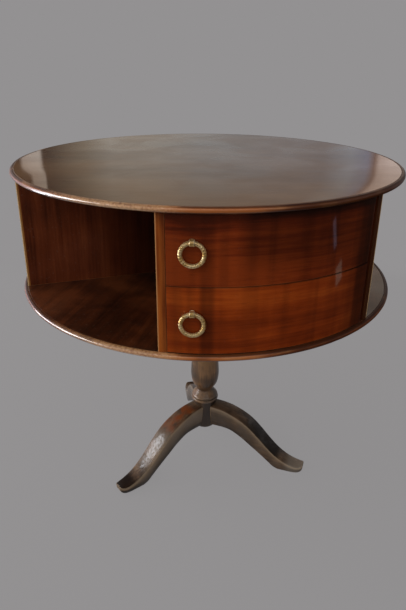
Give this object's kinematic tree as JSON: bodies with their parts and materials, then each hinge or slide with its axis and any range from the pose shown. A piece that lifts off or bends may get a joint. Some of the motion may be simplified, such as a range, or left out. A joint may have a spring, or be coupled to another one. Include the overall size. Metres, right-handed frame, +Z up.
{
  "type": "revolving drum table",
  "caption": "Round drum table that revolves on a turned column with swept legs; open niches alternate with curved drawers that swing out on a pivot.",
  "frame": {"origin": "on the column's axis at floor level", "axes": "+Z up; the first pair of drawers faces -Y"},
  "size_m": [0.771, 0.77, 0.735],
  "materials": {
    "polished_board": "high gloss French polish",
    "board_edge": "worn gloss",
    "drawer_front": "gloss French polish",
    "partition_wood": "satin polish",
    "stained_base": "dark worn gloss",
    "drawer_lining": "bare planed wood",
    "brass": "aged cast brass",
    "iron": "dark forged iron"
  },
  "bodies": {
    "base": {"column": "stained_base", "leg_right": "stained_base", "leg_rear": "stained_base", "leg_left": "stained_base", "spindle": "iron", "thrust_washer": "brass"},
    "drum": {"bearing_block": "stained_base", "block_screws": "iron", "lower_board": "polished_board", "lower_board_edge": "board_edge", "hub_post": "partition_wood", "partition_a_left": "partition_wood", "partition_a_right": "partition_wood", "partition_b_left": "partition_wood", "partition_b_right": "partition_wood", "partition_c_left": "partition_wood", "partition_c_right": "partition_wood", "dust_board_a": "drawer_lining", "dust_board_b": "drawer_lining", "dust_board_c": "drawer_lining", "pivot_rods": "iron", "pivot_washers": "brass", "top_board": "polished_board", "top_board_edge": "board_edge"},
    "upper_a_drawer": {"upper_a_front": "drawer_front", "upper_a_sides": "drawer_lining", "upper_a_bottom": "drawer_lining", "upper_a_eye": "brass"},
    "upper_a_pull": {"upper_a_ring": "brass"},
    "lower_a_drawer": {"lower_a_front": "drawer_front", "lower_a_sides": "drawer_lining", "lower_a_bottom": "drawer_lining", "lower_a_eye": "brass"},
    "lower_a_pull": {"lower_a_ring": "brass"},
    "upper_b_drawer": {"upper_b_front": "drawer_front", "upper_b_sides": "drawer_lining", "upper_b_bottom": "drawer_lining", "upper_b_eye": "brass"},
    "upper_b_pull": {"upper_b_ring": "brass"},
    "lower_b_drawer": {"lower_b_front": "drawer_front", "lower_b_sides": "drawer_lining", "lower_b_bottom": "drawer_lining", "lower_b_eye": "brass"},
    "lower_b_pull": {"lower_b_ring": "brass"},
    "upper_c_drawer": {"upper_c_front": "drawer_front", "upper_c_sides": "drawer_lining", "upper_c_bottom": "drawer_lining", "upper_c_eye": "brass"},
    "upper_c_pull": {"upper_c_ring": "brass"},
    "lower_c_drawer": {"lower_c_front": "drawer_front", "lower_c_sides": "drawer_lining", "lower_c_bottom": "drawer_lining", "lower_c_eye": "brass"},
    "lower_c_pull": {"lower_c_ring": "brass"}
  },
  "joints": [
    {"name": "drum_spin", "type": "hinge", "parent": "base", "child": "drum", "pos_m": [0, 0, 0.499], "axis": [0, 0, 1], "continuous": true},
    {"name": "upper_a_swing", "type": "hinge", "parent": "drum", "child": "upper_a_drawer", "pos_m": [0.16191, -0.32824, 0.6682], "axis": [0, 0, 1], "range_deg": [0, 85]},
    {"name": "upper_a_ring_lift", "type": "hinge", "parent": "upper_a_drawer", "child": "upper_a_pull", "pos_m": [-0.14358, -0.35517, 0.6832], "axis": [-0.9271, 0.3748, 0], "range_deg": [0, 120]},
    {"name": "lower_a_swing", "type": "hinge", "parent": "drum", "child": "lower_a_drawer", "pos_m": [0.16191, -0.32824, 0.5558], "axis": [0, 0, 1], "range_deg": [0, 85]},
    {"name": "lower_a_ring_lift", "type": "hinge", "parent": "lower_a_drawer", "child": "lower_a_pull", "pos_m": [-0.14358, -0.35517, 0.5708], "axis": [-0.9271, 0.3748, 0], "range_deg": [0, 120]},
    {"name": "upper_b_swing", "type": "hinge", "parent": "drum", "child": "upper_b_drawer", "pos_m": [0.20331, 0.30434, 0.6682], "axis": [0, 0, 1], "range_deg": [0, 85]},
    {"name": "upper_b_ring_lift", "type": "hinge", "parent": "upper_b_drawer", "child": "upper_b_pull", "pos_m": [0.37937, 0.05324, 0.6832], "axis": [0.139, -0.9903, 0], "range_deg": [0, 120]},
    {"name": "lower_b_swing", "type": "hinge", "parent": "drum", "child": "lower_b_drawer", "pos_m": [0.20331, 0.30434, 0.5558], "axis": [0, 0, 1], "range_deg": [0, 85]},
    {"name": "lower_b_ring_lift", "type": "hinge", "parent": "lower_b_drawer", "child": "lower_b_pull", "pos_m": [0.37937, 0.05324, 0.5708], "axis": [0.139, -0.9903, 0], "range_deg": [0, 120]},
    {"name": "upper_c_swing", "type": "hinge", "parent": "drum", "child": "upper_c_drawer", "pos_m": [-0.36522, 0.0239, 0.6682], "axis": [0, 0, 1], "range_deg": [0, 85]},
    {"name": "upper_c_ring_lift", "type": "hinge", "parent": "upper_c_drawer", "child": "upper_c_pull", "pos_m": [-0.23579, 0.30192, 0.6832], "axis": [0.7881, 0.6155, 0], "range_deg": [0, 120]},
    {"name": "lower_c_swing", "type": "hinge", "parent": "drum", "child": "lower_c_drawer", "pos_m": [-0.36522, 0.0239, 0.5558], "axis": [0, 0, 1], "range_deg": [0, 85]},
    {"name": "lower_c_ring_lift", "type": "hinge", "parent": "lower_c_drawer", "child": "lower_c_pull", "pos_m": [-0.23579, 0.30192, 0.5708], "axis": [0.7881, 0.6155, 0], "range_deg": [0, 120]}
  ]
}
